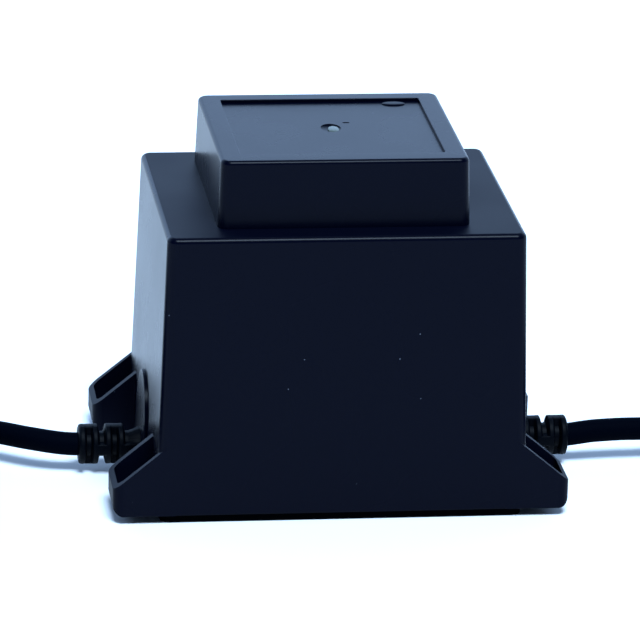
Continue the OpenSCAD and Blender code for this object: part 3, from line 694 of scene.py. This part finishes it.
def foot(side, end):
    """A foot: a wedge with a rounded tip, hollowed to two ribs, a tip wall and a floor."""
    inner_x = RIM_X - FOOT_IN
    # Places along the foot, each with how far its sides draw in there
    stations = [(inner_x, 0)] + [(TIP_X - drop, inset) for inset, drop in quarter_round(FOOT_TIP_R, 7)]
    rings = []
    for x, inset in stations:
        low_z = RIM_Z + edge_drop(TIP_X - x, FOOT_TIP_R)
        high_z = foot_top(x)
        inner_y = RIM_Y - FOOT_W + inset
        low_y = drafted(RIM_Y, low_z) - FLUSH - inset
        high_y = drafted(RIM_Y, high_z) - FLUSH - inset
        ring = [(inner_y, low_z), (low_y, low_z), (high_y, high_z), (inner_y, high_z)]
        rings.append([Vector((side * x, end * y, z)) for y, z in ring])
    wedge = loft("foot", rings)
    start_x = inner_x - OVERRUN
    end_x = TIP_X - FOOT_TIP_WALL
    middle_x = (start_x + end_x) / 2
    middle_y = end * (RIM_Y - FOOT_W / 2)
    outline = rounded_rectangle((end_x - start_x) / 2, FOOT_W / 2 - FOOT_RIB, POCKET_CORNER_R,
                                steps=4)
    pocket = loft("pocket", [[Vector((side * (middle_x + x), middle_y + y, z)) for x, y in outline]
                             for z in (RIM_Z + FOOT_FLOOR, RIM_Z + FOOT_ROOT_H + POCKET_OVERRUN)])
    combine(wedge, pocket, "DIFFERENCE")
    soften(wedge, FOOT_EDGE_R)
    return wedge


def arch_pad(side):
    """The raised pad round a cable's exit: an arch that stands proud of the drafted wall."""
    edge_r = 0.2 * MM
    steps = 32
    rings = []
    for inset, drop in [(0, WALL)] + quarter_round(edge_r, 3):
        radius = ARCH_R - inset
        arch = [(-radius, RIM_Z)]
        arch += [(-radius * math.cos(a), ARCH_MIDDLE_Z + radius * math.sin(a))
                 for a in (math.pi * k / steps for k in range(steps + 1))]
        arch.append((radius, RIM_Z))
        rings.append([Vector((side * (drafted(RIM_X, z) + ARCH_PROUD - drop), y, z)) for y, z in arch])
    return loft("arch_pad", rings)


def cavity(half_x, half_y, middle_y, low_z, high_z, slope):
    """A space inside the case, which widens downwards from its half width and half depth at its top."""
    corner_r = CORNER_R - WALL / 2
    edge_r = 0.8 * MM
    grow = slope * (high_z - low_z)
    rings = [level_ring(half_x + grow, half_y + grow, corner_r, low_z, middle_y)]
    rings += [level_ring(half_x - inset, half_y - inset, corner_r - inset, high_z - drop, middle_y)
              for inset, drop in quarter_round(edge_r, 3)]
    return loft("cavity", rings)


def case_shell():
    """The whole moulding: blocks, feet and pads in one, hollow, with its cable and screw holes."""
    shell = main_block()
    combine(shell, step_block(), "UNION")
    for side in (-1, 1):
        combine(shell, arch_pad(side), "UNION")
        for end in (-1, 1):
            combine(shell, foot(side, end), "UNION")
    top_x = drafted(RIM_X, SHOULDER_Z) - WALL
    top_y = drafted(RIM_Y, SHOULDER_Z) - WALL
    combine(shell, cavity(top_x, top_y, 0, RIM_Z - OVERRUN, CORE_TOP_Z, DRAFT), "DIFFERENCE")
    combine(shell, cavity(STEP_HALF_X - WALL, STEP_HALF_Y - WALL, STEP_MIDDLE_Y, CORE_MIDDLE_Z,
                          TOP_Z - WALL, STEP_DRAFT), "DIFFERENCE")
    reach = 4 * WALL
    for side in (-1, 1):
        along = Vector((side, 0, 0))
        start = Vector((side * (RIM_X - reach), 0, EXIT_Z))
        hole = lathe("cable_hole", [(0, CABLE_HOLE_R), (2 * reach, CABLE_HOLE_R)], start, along)
        combine(shell, hole, "DIFFERENCE")
        for end in (-1, 1):
            under = Vector((side * (TIP_X - SCREW_INSET), end * (RIM_Y - FOOT_W / 2), RIM_Z - OVERRUN))
            hole = lathe("screw_hole", [(0, SCREW_R), (FOOT_ROOT_H, SCREW_R)], under, Vector((0, 0, 1)),
                         sides=32)
            combine(shell, hole, "DIFFERENCE")
    mark_recess(shell)
    smooth(shell)
    fit(shell, ABS, "case_plastic", "case")
    # The shoulder and the feet take the second material
    shell.data.materials.append(COARSE_ABS)
    close = 0.05 * MM
    nearly_level = 0.9
    past_pads = 2 * ARCH_PROUD
    for face in shell.data.polygons:
        on_shoulder = abs(face.center.z - SHOULDER_Z) < close and face.normal.z > nearly_level
        on_foot = abs(face.center.x) > drafted(RIM_X, face.center.z) + past_pads
        face.material_index = int(on_shoulder or on_foot)


def gate_bead():
    """The drop of resin in the gate's pit."""
    bead = dome("gate_bead", GATE_BEAD, PIT_Z, RECESS_FLOOR_Z - BEAD_SUNK)
    smooth(bead)
    fit(bead, BEAD_EPOXY, "potting_resin")


case_shell()
gate_bead()


# Strain reliefs

RELIEF_R = 6 * MM
RELIEF_CORE_R = 3.75 * MM
RELIEF_PLAY = 0.1 * MM
RELIEF_BORE_R = CABLE_R + RELIEF_PLAY
RELIEF_SLOTS = 4
RELIEF_SLOT_PITCH = 3.8 * MM
RELIEF_FIRST_SLOT = 3.1 * MM
# Half widths of a slot at its mouth and its floor, and of the webs across it
SLOT_MOUTH = 1.1 * MM
SLOT_FLOOR = 0.6 * MM
WEB_HALF = 1.7 * MM
RELIEF_EDGE_R = 0.45 * MM
RELIEF_END_R = 2 * RELIEF_EDGE_R
# Shares of a rounding at which it has a line
ROUNDING_SHARES = (0, 0.3, 0.65, 1)
WALL_OUT_X = RIM_X + ARCH_PROUD


def relief_radius(along, angle, on_floor_line):
    """The grip's radius at a distance from its outer end and an angle from its top."""
    number = round((along - RELIEF_FIRST_SLOT) / RELIEF_SLOT_PITCH)
    number = min(RELIEF_SLOTS - 1, max(0, number))
    off_slot = abs(along - RELIEF_FIRST_SLOT - number * RELIEF_SLOT_PITCH)
    web_angle = 0 if number % 2 == 0 else math.pi / 2
    off_web = abs((angle - web_angle + math.pi / 2) % math.pi - math.pi / 2)
    web_top = math.asin(WEB_HALF / RELIEF_R)
    web_foot = math.asin(WEB_HALF / RELIEF_CORE_R)
    beside = max(0, off_slot - SLOT_MOUTH)
    inside_web = max(0, (web_top - off_web) * RELIEF_R)
    if on_floor_line and off_web > (web_top + web_foot) / 2:
        return RELIEF_CORE_R
    edge = math.hypot(beside, inside_web)
    return RELIEF_R - edge_drop(edge, RELIEF_EDGE_R) - edge_drop(along, RELIEF_END_R)


def relief_lines():
    """Places along the grip at which its rings lie, each with whether it is on a slot's floor."""
    roundings = [RELIEF_EDGE_R * share for share in ROUNDING_SHARES]
    lines = [(RELIEF_END_R * share, False) for share in ROUNDING_SHARES]
    for number in range(RELIEF_SLOTS):
        middle = RELIEF_FIRST_SLOT + number * RELIEF_SLOT_PITCH
        lines += [(middle - SLOT_MOUTH - r, False) for r in reversed(roundings)]
        lines += [(middle - SLOT_FLOOR, True), (middle + SLOT_FLOOR, True)]
        if number < RELIEF_SLOTS - 1:
            lines += [(middle + SLOT_MOUTH + r, False) for r in roundings]
    return lines


def relief_angles():
    """Angles round the grip, close together where a web's edges are."""
    web_top = math.asin(WEB_HALF / RELIEF_R)
    rounding = RELIEF_EDGE_R / RELIEF_R
    between = math.radians(36)
    offsets = [web_top - rounding * share for share in reversed(ROUNDING_SHARES)]
    offsets += [math.asin(WEB_HALF / RELIEF_CORE_R), between]
    angles = []
    for quarter in range(4):
        middle = quarter * math.pi / 2
        angles += [middle - offset for offset in reversed(offsets)] + [middle]
        angles += [middle + offset for offset in offsets] + [middle + math.pi / 4]
    return angles


def strain_relief(name, side, node):
    """The slotted grip outside the wall, with its neck and flange in one, round the cable."""
    end_x = max(abs(corner.x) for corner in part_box(node))
    flange_end = end_x - min(abs(corner.x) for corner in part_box(node))
    neck_r = 4.9 * MM
    flange_r = 5.8 * MM
    flange_thick = 2 * MM
    flange_start = flange_end - flange_thick
    angles = relief_angles()
    profile = [(0, [RELIEF_BORE_R] * len(angles))]
    profile += [(along, [relief_radius(along, a, on_floor) for a in angles])
                for along, on_floor in relief_lines()]
    profile += [(along, [radius] * len(angles)) for along, radius in
                [(end_x - WALL_OUT_X, neck_r), (flange_start, neck_r), (flange_start, flange_r),
                 (flange_end, flange_r), (flange_end, RELIEF_BORE_R)]]
    rings = [[Vector((side * (end_x - along), r * math.sin(a), EXIT_Z + r * math.cos(a)))
              for r, a in zip(radii, angles)] for along, radii in profile]
    relief = loft(name, rings, joined_up=True)
    smooth(relief, angle_deg=42)
    fit(relief, SOFT_PVC, "relief_rubber", node)


strain_relief("strain_relief_input", -1, "input_strain_relief")
strain_relief("strain_relief_output", 1, "output_strain_relief")


# Ties round the coils

def coil_band(name, middle, layers, node):
    """A hook and loop band round a coil's bundle, with its overlapping end on the outside."""
    width = 5 * MM
    thick = 1 * MM
    play = 0.3 * MM
    edge_r = 0.15 * MM
    corner_r = CABLE_R + play
    half_y = COIL_PITCH / 2 + corner_r
    half_z = (layers - 1) * COIL_PITCH / 2 + corner_r
    place = middle + Vector((0, -COIL_INNER_R - COIL_PITCH, COIL_Z + (layers - 1) * COIL_PITCH / 2))
    inner = rounded_rectangle(half_y, half_z, corner_r)
    outer = rounded_rectangle(half_y + thick, half_z + thick, corner_r + thick)
    rings = []
    for (in_y, in_z), (out_y, out_z) in zip(inner, outer):
        rings.append([place + Vector(p) for p in ((-width / 2, in_y, in_z), (width / 2, in_y, in_z),
                                                  (width / 2, out_y, out_z), (-width / 2, out_y, out_z))])
    band = loft(name, rings, joined_up=True)
    front_y = -half_y - thick
    flap_margin = 0.2 * MM
    flap_share = 0.6
    flap_corner_r = 1.2 * MM
    flap_sunk = 0.3 * MM
    flap_thick = 0.7 * MM
    outline = rounded_rectangle(width / 2 - flap_margin, half_z * flap_share, flap_corner_r, steps=4)
    flap = loft("flap", [[place + Vector((x, front_y + y, z)) for x, z in outline]
                         for y in (flap_sunk, -flap_thick)])
    combine(band, flap, "UNION")
    soften(band, edge_r, segments=2)
    smooth(band, angle_deg=50)
    return fit(band, BAND_FABRIC, "tie_plastic", node)


band_input = coil_band("coil_band_input", INPUT_COIL_MIDDLE, INPUT_LAYERS, "input_coil_tie")
band_output = coil_band("coil_band_output", OUTPUT_COIL_MIDDLE, OUTPUT_LAYERS, "output_coil_tie")


# Plug

PLUG_LENGTH = 37 * MM
PLUG_HALF_W = 17.5 * MM
PLUG_HALF_T = 7 * MM
PLUG_NECK_R = 4.8 * MM
PIN_R = 1.9 * MM
PIN_HALF_PITCH = 9.3 * MM
PIN_LENGTH = 19 * MM
PIN_SLEEVE_LENGTH = 10 * MM


def plug_body():
    """A flat moulded plug: a ringed neck that widens into the body, with grips at its sides."""
    neck_length = 6.8 * MM
    shoulder_length = 18 * MM
    face_r = 2 * MM
    grip_depth = 0.5 * MM
    grip_pitch = 3 * MM
    ring_depth = 0.5 * MM
    ring_pitch = 2.4 * MM
    # How round the sides are, as a share of half the thickness
    rounding = 0.96
    steps = 74
    rings = []
    for step in range(steps + 1):
        along = PLUG_LENGTH * step / steps
        widen = ease((along - neck_length) / (shoulder_length - neck_length))
        half_w = PLUG_NECK_R + (PLUG_HALF_W - PLUG_NECK_R) * widen
        half_t = PLUG_NECK_R + (PLUG_HALF_T - PLUG_NECK_R) * widen
        if along < neck_length:
            groove = ring_depth * max(0, math.sin(2 * math.pi * along / ring_pitch))
            half_w -= groove
            half_t -= groove
        if shoulder_length < along < PLUG_LENGTH - 2 * face_r:
            half_w -= grip_depth * max(0, math.sin(2 * math.pi * (along - shoulder_length) / grip_pitch))
        near_face = edge_drop(PLUG_LENGTH - along, face_r)
        half_w -= near_face
        half_t -= near_face
        rings.append([input_end + Vector((-along, y, z))
                      for y, z in rounded_rectangle(half_w, half_t, rounding * half_t, steps=10)])
    body = loft("plug_shell", rings)
    smooth(body, angle_deg=40)
    return fit(body, SOFT_PVC, "plug_rubber", "plug_body")


def plug_pins():
    """Two round pins with domed tips, thinner inside their sleeves and the body."""
    tip_x = input_end.x - PLUG_LENGTH - PIN_LENGTH
    inner_r = 1.4 * MM
    in_body = 9.9 * MM
    gap = 0.1 * MM
    bare = PIN_LENGTH - PIN_SLEEVE_LENGTH - gap
    steps = 8
    profile = [(PIN_R * (1 - math.cos(a)), PIN_R * math.sin(a))
               for a in (math.pi / 2 * k / steps for k in range(1, steps + 1))]
    profile += [(bare, PIN_R), (bare, inner_r), (PIN_LENGTH + in_body, inner_r)]
    pins = [lathe("pin", profile, Vector((tip_x, input_end.y + y, input_end.z)), Vector((1, 0, 0)),
                  sides=40)
            for y in (-PIN_HALF_PITCH, PIN_HALF_PITCH)]
    pair = merge("plug_pin_pair", pins)
    smooth(pair)
    return fit(pair, NICKEL, "pin_metal", "plug_pins")


def pin_sleeves():
    """The moulded sleeves round the roots of the pins."""
    bore_r = 1.45 * MM
    edge = 0.15 * MM
    in_body = 5 * MM
    length = PIN_SLEEVE_LENGTH + in_body
    profile = [(0, bore_r), (0, PIN_R - edge), (edge, PIN_R), (length, PIN_R), (length, bore_r)]
    start_x = input_end.x - PLUG_LENGTH - PIN_SLEEVE_LENGTH
    sleeves = [lathe("sleeve", profile, Vector((start_x, input_end.y + y, input_end.z)),
                     Vector((1, 0, 0)), sides=40, joined_up=True)
               for y in (-PIN_HALF_PITCH, PIN_HALF_PITCH)]
    pair = merge("pin_sleeve_pair", sleeves)
    smooth(pair)
    return fit(pair, PIN_SLEEVE, "plug_rubber", "plug_pin_sleeves")


plug_pieces = [plug_body(), plug_pins(), pin_sleeves()]


# Bare end of the output lead

CORE_R = 1.2 * MM
STRIP_LENGTH = 22 * MM
TIP_LENGTH = 8 * MM
TIP_R = 0.9 * MM


def strip_point(hand, share):
    """A point on a stripped core, on one hand, at a share of the stripped length."""
    start_y = 1.8 * MM
    spread = 2.2 * MM
    droop = 2.3 * MM
    return output_end + Vector((share * STRIP_LENGTH, hand * (start_y + share * spread), -share * droop))


def core_end(name, hand, material):
    """An insulated core from the jacket's end to where it is bared."""
    start = strip_point(hand, 0)
    way = strip_point(hand, 1) - start
    edge = 0.12 * MM
    profile = [(0, CORE_R), (way.length - edge, CORE_R), (way.length, CORE_R - edge)]
    core = lathe(name, profile, start, way.normalized(), sides=32)
    smooth(core, angle_deg=40)
    return fit(core, material, "core_insulation", "output_core_ends")


def tinned_tip(hand):
    """Twisted and tinned strands: seven lobes that turn along the tip."""
    start = strip_point(hand, 1)
    way = strip_point(hand, 1 + TIP_LENGTH / STRIP_LENGTH) - start
    turn = way.to_track_quat("Z", "Y")
    lobes = 7
    lobe_depth = 0.07
    twist = 1.6
    end_rounding = 0.4 * MM
    steps = 24
    sides = 42
    rings = []
    for step in range(steps + 1):
        share = step / steps
        end_r = TIP_R - edge_drop((1 - share) * TIP_LENGTH, end_rounding)
        ring = []
        for k in range(sides):
            angle = 2 * math.pi * k / sides
            radius = end_r * (1 - lobe_depth + lobe_depth * math.cos(lobes * (angle - twist * share)))
            ring.append(start + turn @ Vector((radius * math.cos(angle), radius * math.sin(angle),
                                               share * way.length)))
        rings.append(ring)
    return loft("tip", rings)


tinned_tips = merge("tinned_tips", [tinned_tip(-1), tinned_tip(1)])
smooth(tinned_tips, angle_deg=50)
fit(tinned_tips, TIN, "tinned_copper", "output_ferrules")
bare_pieces = [core_end("core_end_brown", -1, BROWN_CORE), core_end("core_end_blue", 1, BLUE_CORE),
               tinned_tips]

fit(cable_input, JACKET, "cable_rubber", "input_cord", "input_coil")
fit(cable_output, JACKET, "cable_rubber", "output_cord", "output_coil")


# Pieces inside the case, which keep their CAD shape

NODE_MATERIALS = {
    # The base plate is darkened as painted shade for the gap under the rim
    "base_plate": BASE_ABS_DARKENED_AS_SHADE,
    "potting_resin": EPOXY,
    "core_e_stack": STEEL,
    "core_i_stack": STEEL,
    "bobbin": NYLON,
    "primary_winding": PRIMARY_WIRE,
    "secondary_winding": SECONDARY_WIRE,
    "primary_tails": PRIMARY_WIRE,
    "secondary_tails": SECONDARY_WIRE,
    "primary_tape": TAPE,
    "secondary_tape": TAPE,
    "thermal_fuse": FUSE_CAN,
    "input_cable_entry": JACKET,
    "output_cable_entry": JACKET,
    "input_splices": CRIMP_SLEEVE,
    "output_splices": CRIMP_SLEEVE,
}
for node_name, node_material in NODE_MATERIALS.items():
    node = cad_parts[node_name]
    node.data.materials.clear()
    node.data.materials.append(node_material)


# Studio: a white floor in a tent, under a soft light from above and in front

def white_floor():
    """A wide matt white sheet."""
    card = start_material("matt_white_card", "#f2f4f6", 0.9, Specular_IOR_Level=0.0)[0]
    half = 12
    floor = mesh_piece("floor", [(-half, -half, 0), (half, -half, 0), (half, half, 0), (-half, half, 0)],
                       [(0, 1, 2, 3)])
    floor.data.materials.append(card)


def tent_world():
    """The tent's walls: bright low down behind the object, dim overhead and in front."""
    world = bpy.data.worlds.new("light_tent")
    scene.world = world
    world.use_nodes = True
    tree = world.node_tree
    direction = add_node(tree, "ShaderNodeTexCoord").outputs["Generated"]
    split = add_node(tree, "ShaderNodeSeparateXYZ", links={0: direction})
    behind = add_node(tree, "ShaderNodeMapRange", {"interpolation_type": "SMOOTHSTEP"},
                      {"From Min": -0.3, "From Max": 0.5, "To Min": 0.03, "To Max": 1.3},
                      {"Value": split.outputs["Y"]})
    overhead = add_node(tree, "ShaderNodeMapRange", {"interpolation_type": "SMOOTHSTEP"},
                        {"From Min": 0.5, "From Max": 0.8, "To Min": 1.0, "To Max": 0.2},
                        {"Value": split.outputs["Z"]})
    strength = add_node(tree, "ShaderNodeMath", {"operation": "MULTIPLY"}, {},
                        {0: behind.outputs["Result"], 1: overhead.outputs["Result"]})
    background = tree.nodes["Background"]
    background.inputs["Color"].default_value = (*TENT_LIGHT, 1)
    tree.links.new(strength.outputs["Value"], background.inputs["Strength"])


def soft_box():
    """A large soft box far off, above and in front, which lights the whole floor evenly."""
    lamp = bpy.data.lights.new("top_soft_box", "SUN")
    lamp.angle = math.radians(SOFT_BOX_WIDTH_DEG)
    lamp.energy = SOFT_BOX_STRENGTH
    lamp.color = KEY_LIGHT
    box = bpy.data.objects.new("top_soft_box", lamp)
    box.location = SOFT_BOX_PLACE
    box.rotation_euler = (-Vector(SOFT_BOX_PLACE)).to_track_quat("-Z", "Y").to_euler()
    scene.collection.objects.link(box)


white_floor()
tent_world()
soft_box()
scene.view_settings.view_transform = "Standard"
